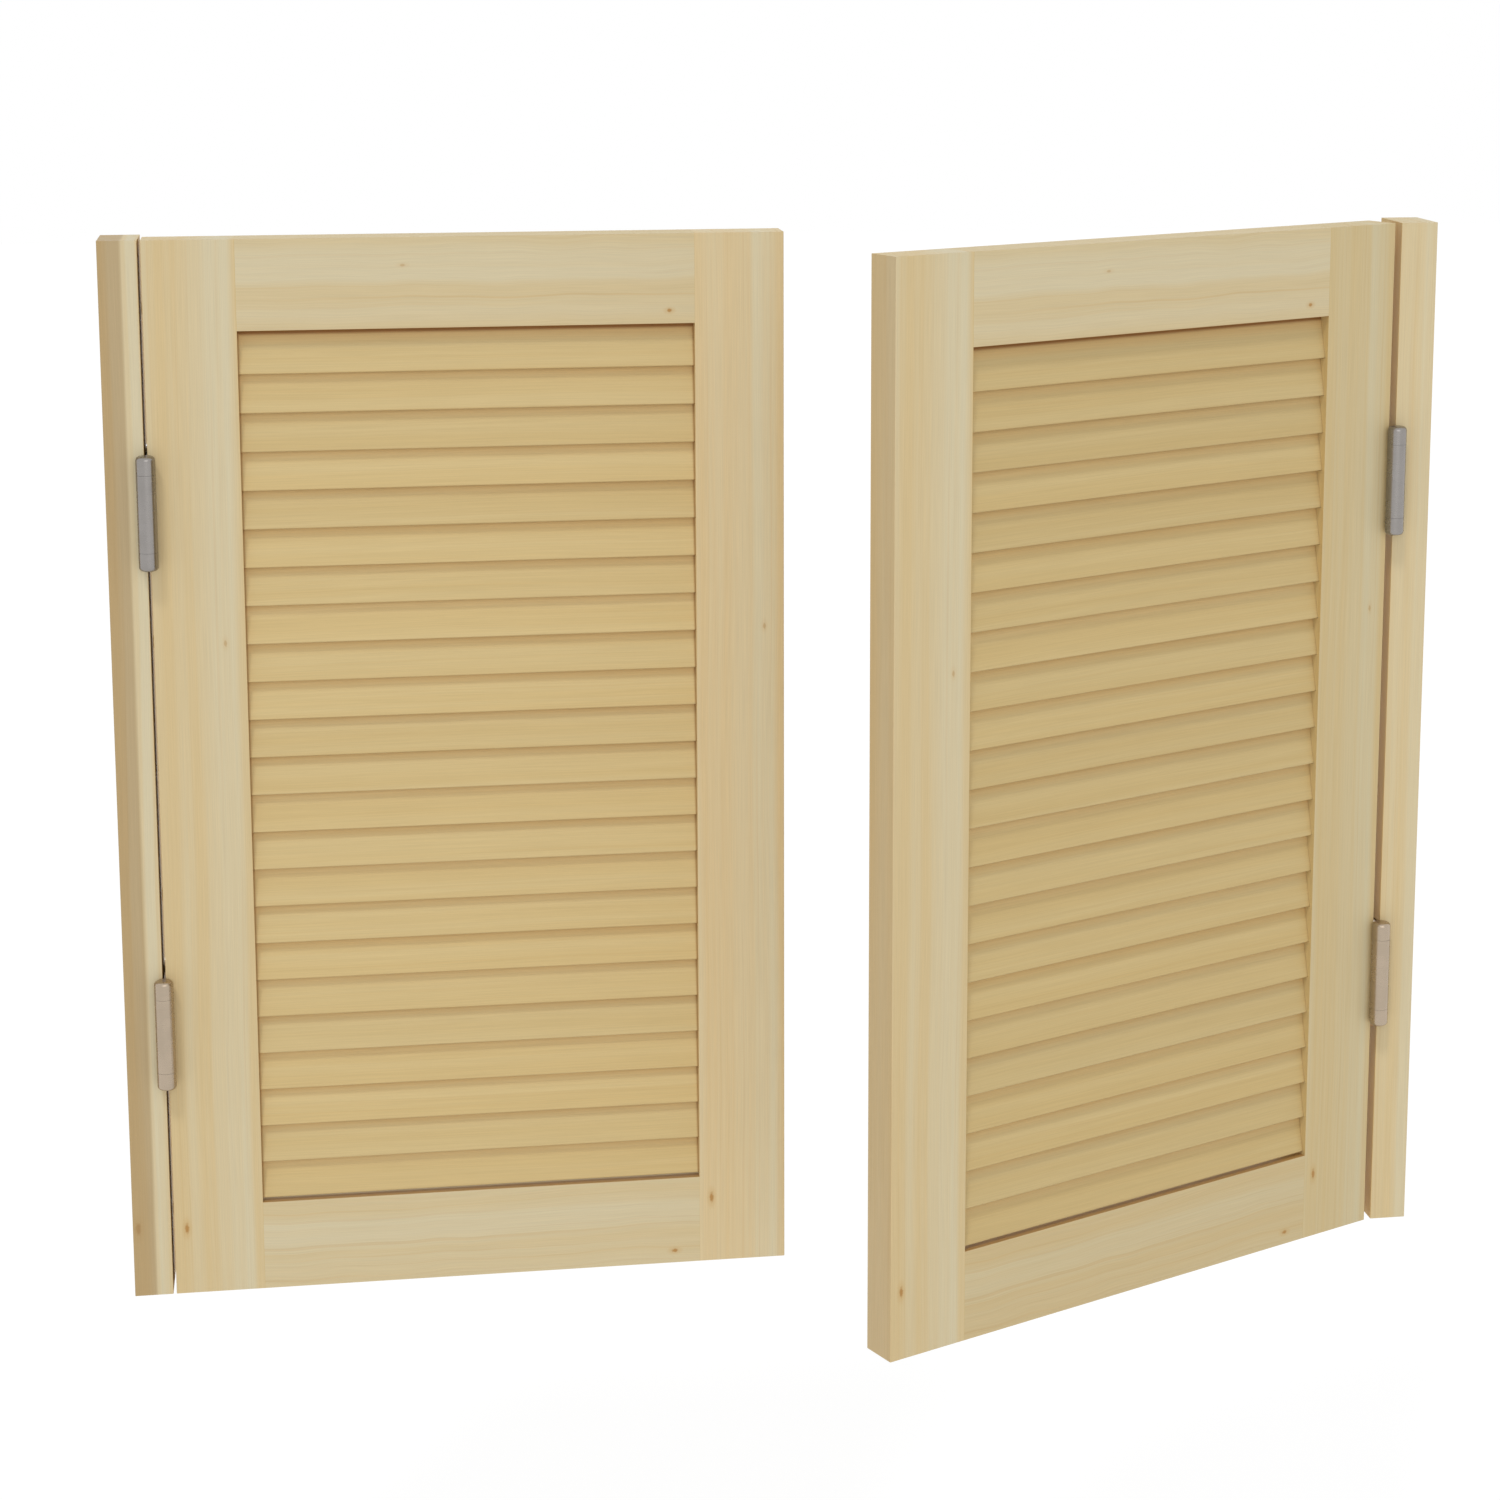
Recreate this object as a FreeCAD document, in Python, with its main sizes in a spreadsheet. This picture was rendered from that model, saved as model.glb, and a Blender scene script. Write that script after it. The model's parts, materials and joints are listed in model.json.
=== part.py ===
"""Pair of louvred saloon doors on double-action spring hinges.

Frame: origin at the middle of the doorway, at the foot of the posts, in the plane of the front
faces.  +X runs to the right, +Y away from the viewer, +Z up.  Lengths are millimetres.
The left leaf is closed.  The right leaf stands open towards the front by rest_opening degrees.
"""
import FreeCAD, Part
import math
import os

import Sketcher

DIMENSIONS = [
    ("leaf_height", 900.0),
    ("leaf_width", 524.3),
    ("leaf_thickness", 33.0),
    ("meeting_gap", 8.0),
    ("rest_opening", 25.0),
    ("stile_width", 74.7),
    ("top_rail_height", 75.0),
    ("bottom_rail_height", 77.5),
    ("edge_round", 0.6),
    ("post_width", 32.0),
    ("post_overhang", 21.0),
    ("slat_count", 23),
    ("slat_thickness", 5.0),
    ("slat_air_gap", 1.2),
    ("slat_overlap", 3.8),
    ("slat_recess", 3.0),
    ("slat_edge_round", 0.8),
    ("slat_sill_gap", 2.0),
    ("slat_head_gap", 0.7),
    ("slat_housing", 8.0),
    ("slat_clearance", 0.2),
    ("dowel_radius", 4.0),
    ("dowel_length", 44.0),
    ("dowel_clearance", 0.06),
    ("dowel_end_gap", 0.8),
    ("plate_thickness", 1.4),
    ("plate_clearance", 0.65),
    ("plate_margin", 1.5),
    ("gain_clearance", 0.25),
    ("hinge_height", 87.0),
    ("hinge_from_bottom", 234.0),
    ("hinge_from_top", 222.0),
    ("barrel_radius", 8.0),
    ("barrel_wall", 1.8),
    ("barrel_clearance", 0.5),
    ("knuckle_height", 64.0),
    ("knuckle_gap", 0.15),
    ("hinge_pin_radius", 3.0),
    ("hinge_pin_clearance", 0.05),
    ("spring_clearance", 0.4),
    ("cap_height", 4.0),
    ("cap_round", 3.4),
    ("cap_socket", 2.0),
    ("notch_clearance", 1.5),
    ("screw_head_radius", 3.4),
    ("screw_shank_radius", 1.9),
    ("screw_shank_length", 18.0),
    ("screw_tip_length", 4.0),
    ("screw_clearance", 0.08),
    ("screw_spread", 34.0),
    ("screw_stagger", 6.0),
    ("wall_hole_radius", 2.75),
    ("wall_head_radius", 5.5),
    ("wall_head_depth", 3.0),
    ("wall_hole_end", 60.0),
    ("wall_hole_inner", 340.0),
]

doc = FreeCAD.newDocument("saloon_doors")
sheet = doc.addObject("Spreadsheet::Sheet", "Dims")
for row, (alias, number) in enumerate(DIMENSIONS, start=1):
    sheet.set("A%d" % row, alias)
    sheet.set("B%d" % row, str(number))
    sheet.setAlias("B%d" % row, alias)
doc.recompute()


def dim(alias):
    """The expression that reads one cell of the sheet."""
    return "Dims." + alias


def value(expression):
    """The number that an expression gives now."""
    return float(sheet.evalExpression(str(expression)))


# Places and sizes that follow from the driving dimensions
HEIGHT = dim("leaf_height")
THICKNESS = dim("leaf_thickness")
HALF_GAP = "(Dims.plate_thickness / 2 + Dims.plate_clearance)"
PLATE_OUT = "(%s + Dims.plate_thickness)" % HALF_GAP
POST_DEPTH = "(Dims.leaf_thickness + Dims.post_overhang)"
AXIS_OUT = "(Dims.barrel_radius + Dims.barrel_clearance)"
AXIS_REACH = "(Dims.leaf_thickness / 2 + %s)" % AXIS_OUT
HINGE_X = "(Dims.meeting_gap / 2 + Dims.leaf_width + %s)" % HALF_GAP
OPENING_HEIGHT = "(Dims.leaf_height - Dims.top_rail_height - Dims.bottom_rail_height)"
OPENING_WIDTH = "(Dims.leaf_width - 2 * Dims.stile_width)"
SLAT_LENGTH = "(%s + 2 * Dims.slat_housing)" % OPENING_WIDTH
SLAT_COUNT = int(value(dim("slat_count")))
SLAT_PITCH = ("((%s - Dims.slat_sill_gap - Dims.slat_head_gap - Dims.slat_overlap)"
              " / Dims.slat_count)" % OPENING_HEIGHT)
SLAT_STACK = "((Dims.slat_count - 1) * %s)" % SLAT_PITCH
SLAT_SINE = "((Dims.slat_thickness + Dims.slat_air_gap) / %s)" % SLAT_PITCH
SLAT_COSINE = "sqrt(1 - %s * %s)" % (SLAT_SINE, SLAT_SINE)
SLAT_LEAN = "asin(%s)" % SLAT_SINE
SLAT_DROP = "(Dims.slat_thickness * %s)" % SLAT_SINE
SLAT_WIDTH = "((%s + Dims.slat_overlap - %s) / %s)" % (SLAT_PITCH, SLAT_DROP, SLAT_COSINE)
SLAT_NOSE = "(Dims.bottom_rail_height + Dims.slat_sill_gap + %s)" % SLAT_DROP
END_KNUCKLE = "((Dims.hinge_height - Dims.knuckle_height) / 2 - Dims.knuckle_gap)"
PLATE_DEPTH = "(Dims.leaf_thickness - 2 * Dims.plate_margin)"
NOTCH_REACH = "(Dims.barrel_radius + Dims.notch_clearance)"
NOTCH_HEIGHT = "(Dims.hinge_height + 2 * Dims.cap_height + 2 * Dims.notch_clearance)"
PIN_LENGTH = "(Dims.hinge_height + 2 * Dims.cap_socket)"
SCREW_HOLE = "(Dims.screw_shank_radius + Dims.screw_clearance)"
SCREW_DEPTH = ("(Dims.plate_thickness + Dims.screw_shank_length + Dims.screw_tip_length"
               " + Dims.dowel_end_gap)")
DOWEL_HOLE = "(Dims.dowel_radius + Dims.dowel_clearance)"
DOWEL_DEPTH = "(Dims.dowel_length / 2 + Dims.dowel_end_gap)"
HINGE_LEVELS = {
    "upper": "(Dims.leaf_height - Dims.hinge_from_top)",
    "lower": dim("hinge_from_bottom"),
}
# Each hinge plate has two screws near one edge and one nearer the other: (along, up) factors
SCREW_PLACES = ((1, 1), (-1, 0), (1, -1))

nodes = []


def keep(feature, label, placement=None):
    """Name a finished sub-part and set it in its place."""
    feature.Label = label
    if placement is not None:
        feature.Placement = placement
    nodes.append(feature)
    return feature


def place(x, y, z, turn=0.0):
    """A placement at a point given by expressions, turned about the upright axis."""
    point = FreeCAD.Vector(value(x), value(y), value(z))
    return FreeCAD.Placement(point, FreeCAD.Rotation(FreeCAD.Vector(0, 0, 1), turn))


def bind(feature, **sizes):
    """Tie properties of a feature to expressions."""
    for name, expression in sizes.items():
        feature.setExpression(name, str(expression))
    return feature


def bind_base(feature, x, y, z):
    """Tie the position of a feature to expressions."""
    for name, expression in (("x", x), ("y", y), ("z", z)):
        feature.setExpression("Placement.Base." + name, str(expression))
    return feature


def box(name, x, y, z, length, width, height):
    """A block from its low corner and its three sizes, all expressions."""
    block = doc.addObject("Part::Box", name)
    bind(block, Length=length, Width=width, Height=height)
    return bind_base(block, x, y, z)


def rod(name, x, y, z, radius, height, along=(0, 0, 1)):
    """A cylinder that starts at a point and runs along a direction."""
    cylinder = doc.addObject("Part::Cylinder", name)
    cylinder.Placement.Rotation = FreeCAD.Rotation(FreeCAD.Vector(0, 0, 1), FreeCAD.Vector(*along))
    bind(cylinder, Radius=radius, Height=height)
    return bind_base(cylinder, x, y, z)


def taper(name, x, y, z, start_radius, end_radius, height, along=(0, 0, 1)):
    """A cone that starts at a point and runs along a direction."""
    cone = doc.addObject("Part::Cone", name)
    cone.Placement.Rotation = FreeCAD.Rotation(FreeCAD.Vector(0, 0, 1), FreeCAD.Vector(*along))
    bind(cone, Radius1=start_radius, Radius2=end_radius, Height=height)
    return bind_base(cone, x, y, z)


def joined(name, pieces):
    """Several features as one solid."""
    fuse = doc.addObject("Part::MultiFuse", name)
    fuse.Shapes = pieces
    fuse.Refine = True
    return fuse


def cut(name, base, tools):
    """One feature less others."""
    result = doc.addObject("Part::Cut", name)
    result.Base = base
    result.Tool = tools[0] if len(tools) == 1 else joined(name + "_tools", tools)
    return result


def group(name, pieces):
    """Separate solids kept together as one sub-part."""
    compound = doc.addObject("Part::Compound", name)
    compound.Links = pieces
    return compound


def origin_plane(body, role):
    """One of a body's own origin planes or axes."""
    return next(item for item in body.Origin.OriginFeatures if item.Role == role)


def new_sketch(body, name, role, offset="0"):
    """A sketch on an origin plane, moved along the plane's normal by an expression."""
    sketch = body.newObject("Sketcher::SketchObject", name)
    sketch.AttachmentSupport = [(origin_plane(body, role), "")]
    sketch.MapMode = "FlatFace"
    sketch.setExpression("AttachmentOffset.Base.z", str(offset))
    return sketch


def set_size(sketch, constraint, expression):
    """Add a dimension to a sketch and tie it to an expression."""
    index = sketch.addConstraint(constraint)
    sketch.setExpression("Constraints[%d]" % index, str(expression))


def draw_slanted(sketch, x, y, width, depth, lean):
    """A rectangle whose long side leans from the upright.

    The point x, y is its front corner.  The long side rises from there, the short side drops.
    """
    angle = math.asin(value(SLAT_SINE))
    corner = FreeCAD.Vector(value(x), value(y), 0)
    rise = FreeCAD.Vector(math.sin(angle), math.cos(angle), 0) * value(width)
    drop = FreeCAD.Vector(math.cos(angle), -math.sin(angle), 0) * value(depth)
    corners = [corner, corner + rise, corner + rise + drop, corner + drop]
    for start in range(4):
        sketch.addGeometry(Part.LineSegment(corners[start], corners[(start + 1) % 4]), False)
    for start in range(4):
        sketch.addConstraint(Sketcher.Constraint("Coincident", start, 2, (start + 1) % 4, 1))
    for start in range(3):
        sketch.addConstraint(Sketcher.Constraint("Perpendicular", start, start + 1))
    set_size(sketch, Sketcher.Constraint("Distance", 0, value(width)), width)
    set_size(sketch, Sketcher.Constraint("Distance", 1, value(depth)), depth)
    set_size(sketch, Sketcher.Constraint("Angle", 0, math.pi / 2 - angle),
             "90 deg - " + lean)
    set_size(sketch, Sketcher.Constraint("DistanceX", -1, 1, 0, 1, value(x)), x)
    set_size(sketch, Sketcher.Constraint("DistanceY", -1, 1, 0, 1, value(y)), y)


def draw_rectangle(sketch, x, y, width, depth):
    """An upright rectangle from its low corner."""
    left, low = value(x), value(y)
    right, high = left + value(width), low + value(depth)
    corners = [(left, low), (right, low), (right, high), (left, high)]
    for start in range(4):
        first = FreeCAD.Vector(*corners[start], 0)
        last = FreeCAD.Vector(*corners[(start + 1) % 4], 0)
        sketch.addGeometry(Part.LineSegment(first, last), False)
    for start in range(4):
        sketch.addConstraint(Sketcher.Constraint("Coincident", start, 2, (start + 1) % 4, 1))
        direction = "Horizontal" if start % 2 == 0 else "Vertical"
        sketch.addConstraint(Sketcher.Constraint(direction, start))
    set_size(sketch, Sketcher.Constraint("DistanceX", 0, 1, 0, 2, value(width)), width)
    set_size(sketch, Sketcher.Constraint("DistanceY", 1, 1, 1, 2, value(depth)), depth)
    set_size(sketch, Sketcher.Constraint("DistanceX", -1, 1, 0, 1, left), x)
    set_size(sketch, Sketcher.Constraint("DistanceY", -1, 1, 0, 1, low), y)


def draw_circles(sketch, centres, radius):
    """Equal circles at points given by expressions."""
    for index, (x, y) in enumerate(centres):
        centre = FreeCAD.Vector(value(x), value(y), 0)
        normal = FreeCAD.Vector(0, 0, 1)
        sketch.addGeometry(Part.Circle(centre, normal, value(radius)), False)
        set_size(sketch, Sketcher.Constraint("Radius", index, value(radius)), radius)
        set_size(sketch, Sketcher.Constraint("DistanceX", -1, 1, index, 3, centre.x), x)
        set_size(sketch, Sketcher.Constraint("DistanceY", -1, 1, index, 3, centre.y), y)


def pad(body, name, sketch, length):
    """Thicken a sketch along its normal."""
    feature = body.newObject("PartDesign::Pad", name)
    feature.Profile = sketch
    feature.setExpression("Length", str(length))
    sketch.Visibility = False
    doc.recompute()
    return feature


def sink(body, name, sketch, depth):
    """Cut a sketch into the body from a face, the same depth to both sides of the sketch."""
    before = body.Shape.Volume
    feature = body.newObject("PartDesign::Pocket", name)
    feature.Profile = sketch
    feature.SideType = "Symmetric"
    feature.setExpression("Length", "2 * " + str(depth))
    doc.recompute()
    if body.Shape.Volume >= before:
        raise RuntimeError("%s cuts nothing" % name)
    return feature


def upright_edges(shape, wanted):
    """Names of a block's upright edges whose middle point passes a test."""
    names = []
    for index, edge in enumerate(shape.Edges, start=1):
        direction = edge.Vertexes[0].Point - edge.Vertexes[-1].Point
        is_upright = abs(direction.x) < 1e-6 and abs(direction.y) < 1e-6
        if is_upright and wanted(edge.CenterOfMass):
            names.append("Edge%d" % index)
    return names


def ease(body, name, feature, edges, radius):
    """Round edges of a body's last feature."""
    fillet = body.newObject("PartDesign::Fillet", name)
    fillet.Base = (feature, edges)
    fillet.setExpression("Radius", str(radius))
    doc.recompute()
    return fillet


def board(label, x, y, z, length, width, height):
    """A straight board as a body: a rectangle at height z, padded upwards."""
    body = doc.addObject("PartDesign::Body", label)
    sketch = new_sketch(body, label + "_section", "XY_Plane", z)
    draw_rectangle(sketch, x, y, length, width)
    return body, pad(body, label + "_board", sketch, height)


class Side:
    """One of the two doors: its hand, its hinge line and the poses of its moving pieces."""

    def __init__(self, name, hand):
        """hand is +1 where the leaf lies to the right of its hinges, -1 where to the left."""
        self.name = name
        self.hand = hand
        self.hinge_x = "(%d * %s)" % (-hand, HINGE_X)
        turn = 0.0 if hand > 0 else value(dim("rest_opening"))
        # The front barrel's axis is the origin of the leaf's pieces
        self.leaf_pose = place(self.hinge_x, "-" + AXIS_OUT, "0", turn)

    def from_hinge(self, start, length):
        """Low x of a stretch that starts some way from the hinge line, towards the free edge."""
        if self.hand > 0:
            return "(%s)" % start
        return "(-(%s) - (%s))" % (start, length)

    def hinge_pose(self, level, moves_with_leaf, half_turn=0.0):
        """Placement of a hinge piece whose origin is the middle of its hinge."""
        turn = half_turn if self.hand > 0 else half_turn + 180.0
        middle = "(Dims.leaf_thickness / 2)"
        if moves_with_leaf:
            return self.leaf_pose.multiply(place("0", AXIS_REACH, HINGE_LEVELS[level], turn))
        return place(self.hinge_x, middle, HINGE_LEVELS[level], turn)


SIDES = (Side("left", 1), Side("right", -1))


def make_post(side):
    """Fixed post with hinge screw holes, wall screw holes and a clearance notch per rear barrel."""
    label = side.name + "_post"
    start = "(-Dims.post_width - %s)" % HALF_GAP
    low_x = side.from_hinge(start, dim("post_width"))
    inner_x = side.from_hinge("(-%s)" % HALF_GAP, "0")
    body, base = board(label, low_x, "0", "0", dim("post_width"), POST_DEPTH, HEIGHT)
    corners = upright_edges(base.Shape, lambda point: True)
    ease(body, label + "_eased", base, corners, dim("edge_round"))
    notch_depth = "(%s - %s)" % (NOTCH_REACH, HALF_GAP)
    notch_front = "(Dims.leaf_thickness + %s - %s)" % (AXIS_OUT, NOTCH_REACH)
    for level, height in HINGE_LEVELS.items():
        notch = new_sketch(body, "%s_%s_notch_sketch" % (label, level), "YZ_Plane", inner_x)
        draw_rectangle(notch, notch_front, "(%s - %s / 2)" % (height, NOTCH_HEIGHT),
                       "(%s + 2 * %s)" % (dim("post_overhang"), NOTCH_REACH), NOTCH_HEIGHT)
        sink(body, "%s_%s_notch" % (label, level), notch, notch_depth)
    cut_gains(body, label, inner_x, "(Dims.leaf_thickness / 2)", side.hand > 0)
    drill_for_hinges(side, body, label, inner_x, "(Dims.leaf_thickness / 2)", -1)
    wall_y = "(Dims.leaf_thickness + Dims.post_overhang / 2)"
    heights = [dim("wall_hole_end"), dim("wall_hole_inner"),
               "(Dims.leaf_height - Dims.wall_hole_inner)", "(Dims.leaf_height - Dims.wall_hole_end)"]
    places = [(wall_y, height) for height in heights]
    holes = new_sketch(body, label + "_wall_hole_sketch", "YZ_Plane", inner_x)
    draw_circles(holes, places, dim("wall_hole_radius"))
    sink(body, label + "_wall_holes", holes, "(Dims.post_width + Dims.wall_head_depth)")
    heads = new_sketch(body, label + "_wall_head_sketch", "YZ_Plane", inner_x)
    draw_circles(heads, places, dim("wall_head_radius"))
    sink(body, label + "_wall_heads", heads, dim("wall_head_depth"))
    keep(body, label, place(side.hinge_x, "0", "0"))


def cut_gains(body, label, face_x, middle_y, knuckle_in_front):
    """Shallow recesses that take both hinge plates flush, open towards the plates' knuckles."""
    reach = "(%s / 2 + Dims.gain_clearance)" % PLATE_DEPTH
    width = "(%s + Dims.leaf_thickness)" % reach
    height = "(Dims.hinge_height + 2 * Dims.gain_clearance)"
    low_y = "(%s - Dims.leaf_thickness)" if knuckle_in_front else "(%%s - %s)" % reach
    for level, centre in HINGE_LEVELS.items():
        sketch = new_sketch(body, "%s_%s_gain_sketch" % (label, level), "YZ_Plane", face_x)
        draw_rectangle(sketch, low_y % middle_y, "(%s - %s / 2)" % (centre, height), width, height)
        sink(body, "%s_%s_gain" % (label, level), sketch, dim("plate_thickness"))


def drill_for_hinges(side, body, label, face_x, middle_y, sign):
    """Pilot holes for the screws of both hinge plates on one face.

    sign is -1 on the post and +1 on the leaf: the two plates of a hinge are half a turn apart.
    """
    places = []
    for height in HINGE_LEVELS.values():
        for along, up in SCREW_PLACES:
            y = "(%s - %d * Dims.screw_stagger)" % (middle_y, along * sign * side.hand)
            places.append((y, "(%s + %d * Dims.screw_spread)" % (height, up)))
    sketch = new_sketch(body, label + "_hinge_screw_sketch", "YZ_Plane", face_x)
    draw_circles(sketch, places, SCREW_HOLE)
    sink(body, label + "_hinge_screw_holes", sketch, SCREW_DEPTH)


def dowel_places(front_y):
    """Centres of the dowels of a leaf in its side view: two in each rail."""
    middle_y = "(%s + Dims.leaf_thickness / 2)" % front_y
    top_low = "(Dims.leaf_height - Dims.top_rail_height)"
    levels = ["Dims.bottom_rail_height / 4", "3 * Dims.bottom_rail_height / 4",
              "%s + Dims.top_rail_height / 4" % top_low,
              "%s + 3 * Dims.top_rail_height / 4" % top_low]
    return [(middle_y, level) for level in levels]


def make_stile(side, role):
    """Upright of a leaf, housed for the slats and drilled for dowels and hinge screws."""
    label = "%s_%s_stile" % (side.name, role)
    free_start = "(%s + Dims.leaf_width - Dims.stile_width)" % HALF_GAP
    start = HALF_GAP if role == "hinge" else free_start
    inner = "(%s + Dims.stile_width)" % HALF_GAP if role == "hinge" else free_start
    inner_x = side.from_hinge(inner, "0")
    low_x = side.from_hinge(start, dim("stile_width"))
    body, base = board(label, low_x, AXIS_OUT, "0", dim("stile_width"), THICKNESS, HEIGHT)
    outer_edges = upright_edges(base.Shape, lambda point: abs(point.x - value(inner_x)) > 1.0)
    ease(body, label + "_eased", base, outer_edges, dim("edge_round"))
    housing = new_sketch(body, label + "_housing_sketch", "YZ_Plane", inner_x)
    grow = "Dims.slat_clearance * (%s + %s)" % (SLAT_COSINE, SLAT_SINE)
    lift = "Dims.slat_clearance * (%s - %s)" % (SLAT_COSINE, SLAT_SINE)
    draw_slanted(housing, "(%s + Dims.slat_recess - %s)" % (AXIS_OUT, grow),
                 "(%s - %s)" % (SLAT_NOSE, lift),
                 "(%s + 2 * Dims.slat_clearance)" % SLAT_WIDTH,
                 "(Dims.slat_thickness + 2 * Dims.slat_clearance)", SLAT_LEAN)
    slot = sink(body, label + "_housing", housing, "(Dims.slat_housing + Dims.slat_clearance)")
    repeat_upwards(body, label + "_housings", slot)
    dowels = new_sketch(body, label + "_dowel_sketch", "YZ_Plane", inner_x)
    draw_circles(dowels, dowel_places(AXIS_OUT), DOWEL_HOLE)
    sink(body, label + "_dowel_holes", dowels, DOWEL_DEPTH)
    if role == "hinge":
        edge_x = side.from_hinge(HALF_GAP, "0")
        cut_gains(body, label, edge_x, AXIS_REACH, side.hand < 0)
        drill_for_hinges(side, body, label, edge_x, AXIS_REACH, 1)
    keep(body, label, side.leaf_pose)


def repeat_upwards(body, name, feature):
    """Repeat a feature once for every slat."""
    pattern = body.newObject("PartDesign::LinearPattern", name)
    pattern.Originals = [feature]
    pattern.Direction = (origin_plane(body, "Z_Axis"), [""])
    pattern.Occurrences = SLAT_COUNT
    pattern.setExpression("Length", SLAT_STACK)
    body.Tip = pattern
    doc.recompute()


def make_rail(side, role):
    """Cross member of a leaf, butted between the stiles and drilled for dowels at both ends."""
    label = "%s_%s_rail" % (side.name, role)
    height = dim(role + "_rail_height")
    low_z = "0" if role == "bottom" else "(Dims.leaf_height - Dims.top_rail_height)"
    start = "(%s + Dims.stile_width)" % HALF_GAP
    low_x = side.from_hinge(start, OPENING_WIDTH)
    body, _ = board(label, low_x, AXIS_OUT, low_z, OPENING_WIDTH, THICKNESS, height)
    places = dowel_places(AXIS_OUT)
    chosen = places[:2] if role == "bottom" else places[2:]
    for end, face_x in (("near", low_x), ("far", "(%s + %s)" % (low_x, OPENING_WIDTH))):
        sketch = new_sketch(body, "%s_%s_dowel_sketch" % (label, end), "YZ_Plane", face_x)
        draw_circles(sketch, chosen, DOWEL_HOLE)
        sink(body, "%s_%s_dowel_holes" % (label, end), sketch, DOWEL_DEPTH)
    keep(body, label, side.leaf_pose)


def make_slats(side):
    """The louvre: equal slanted slats, each housed in both stiles."""
    label = side.name + "_slats"
    body = doc.addObject("PartDesign::Body", label)
    start = "(%s + Dims.stile_width - Dims.slat_housing)" % HALF_GAP
    low_x = side.from_hinge(start, SLAT_LENGTH)
    section = new_sketch(body, label + "_section", "YZ_Plane", low_x)
    draw_slanted(section, "(%s + Dims.slat_recess)" % AXIS_OUT, SLAT_NOSE,
                 SLAT_WIDTH, dim("slat_thickness"), SLAT_LEAN)
    slat = pad(body, label + "_slat", section, SLAT_LENGTH)
    long_edges = ["Edge%d" % index for index, edge in enumerate(slat.Shape.Edges, start=1)
                  if abs(edge.Length - value(SLAT_LENGTH)) < 1e-6]
    eased = ease(body, label + "_eased", slat, long_edges, dim("slat_edge_round"))
    pattern = body.newObject("PartDesign::LinearPattern", label + "_stack")
    pattern.Originals = [slat, eased]
    pattern.Direction = (origin_plane(body, "Z_Axis"), [""])
    pattern.Occurrences = SLAT_COUNT
    pattern.setExpression("Length", SLAT_STACK)
    body.Tip = pattern
    doc.recompute()
    keep(body, label, side.leaf_pose)


def make_dowels(side):
    """Dowels across the eight joints of a leaf's frame."""
    label = side.name + "_dowels"
    near = side.from_hinge("(%s + Dims.stile_width)" % HALF_GAP, "0")
    far = side.from_hinge("(%s + Dims.leaf_width - Dims.stile_width)" % HALF_GAP, "0")
    pins = []
    for joint_x in (near, far):
        for y, z in dowel_places(AXIS_OUT):
            name = "%s_%d" % (label, len(pins))
            pins.append(rod(name, "(%s - Dims.dowel_length / 2)" % joint_x, y, z,
                            dim("dowel_radius"), dim("dowel_length"), (1, 0, 0)))
    keep(group(label, pins), label, side.leaf_pose)


def make_plate(label, placement):
    """Hinge plate for a post or a leaf: a screwed plate that runs into the long middle knuckle.

    Its origin is the middle of the hinge, the wood lies on its -X side and its knuckle is at -Y.
    """
    plate = box(label + "_leaf", "-" + PLATE_OUT, "-%s / 2" % PLATE_DEPTH, "-Dims.hinge_height / 2",
                dim("plate_thickness"), PLATE_DEPTH, dim("hinge_height"))
    web = box(label + "_web", "-" + PLATE_OUT, "-" + AXIS_REACH, "-Dims.knuckle_height / 2",
              dim("plate_thickness"), AXIS_REACH, dim("knuckle_height"))
    knuckle = rod(label + "_knuckle", "0", "-" + AXIS_REACH, "-Dims.knuckle_height / 2",
                  dim("barrel_radius"), dim("knuckle_height"))
    bore = rod(label + "_bore", "0", "-" + AXIS_REACH, "-Dims.knuckle_height",
               "(Dims.barrel_radius - Dims.barrel_wall)", "2 * Dims.knuckle_height")
    holes = []
    for index, (along, up) in enumerate(SCREW_PLACES):
        holes.append(taper("%s_hole_%d" % (label, index), "-" + PLATE_OUT,
                           "%d * Dims.screw_stagger" % along, "%d * Dims.screw_spread" % up,
                           SCREW_HOLE, "(Dims.screw_head_radius + Dims.screw_clearance)",
                           dim("plate_thickness"), (1, 0, 0)))
    solid = joined(label + "_solid", [plate, web, knuckle])
    keep(cut(label, solid, [bore] + holes), label, placement)


def make_link(label, placement):
    """Middle plate of a hinge, with two short end knuckles on each of its two barrels."""
    pieces = [box(label + "_plate", "-Dims.plate_thickness / 2", "-Dims.leaf_thickness / 2",
                  "-Dims.hinge_height / 2", dim("plate_thickness"), THICKNESS, dim("hinge_height"))]
    bores = []
    for way, axis_y in (("front", "-" + AXIS_REACH), ("back", AXIS_REACH)):
        web_y = axis_y if way == "front" else "0"
        for end, low_z in (("low", "-Dims.hinge_height / 2"),
                           ("high", "(Dims.hinge_height / 2 - %s)" % END_KNUCKLE)):
            name = "%s_%s_%s" % (label, way, end)
            pieces.append(box(name + "_web", "-Dims.plate_thickness / 2", web_y, low_z,
                              dim("plate_thickness"), AXIS_REACH, END_KNUCKLE))
            pieces.append(rod(name + "_knuckle", "0", axis_y, low_z, dim("barrel_radius"), END_KNUCKLE))
        bores.append(rod("%s_%s_bore" % (label, way), "0", axis_y, "-Dims.hinge_height",
                         "(Dims.hinge_pin_radius + Dims.hinge_pin_clearance)",
                         "2 * Dims.hinge_height"))
    keep(cut(label, joined(label + "_solid", pieces), bores), label, placement)


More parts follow.
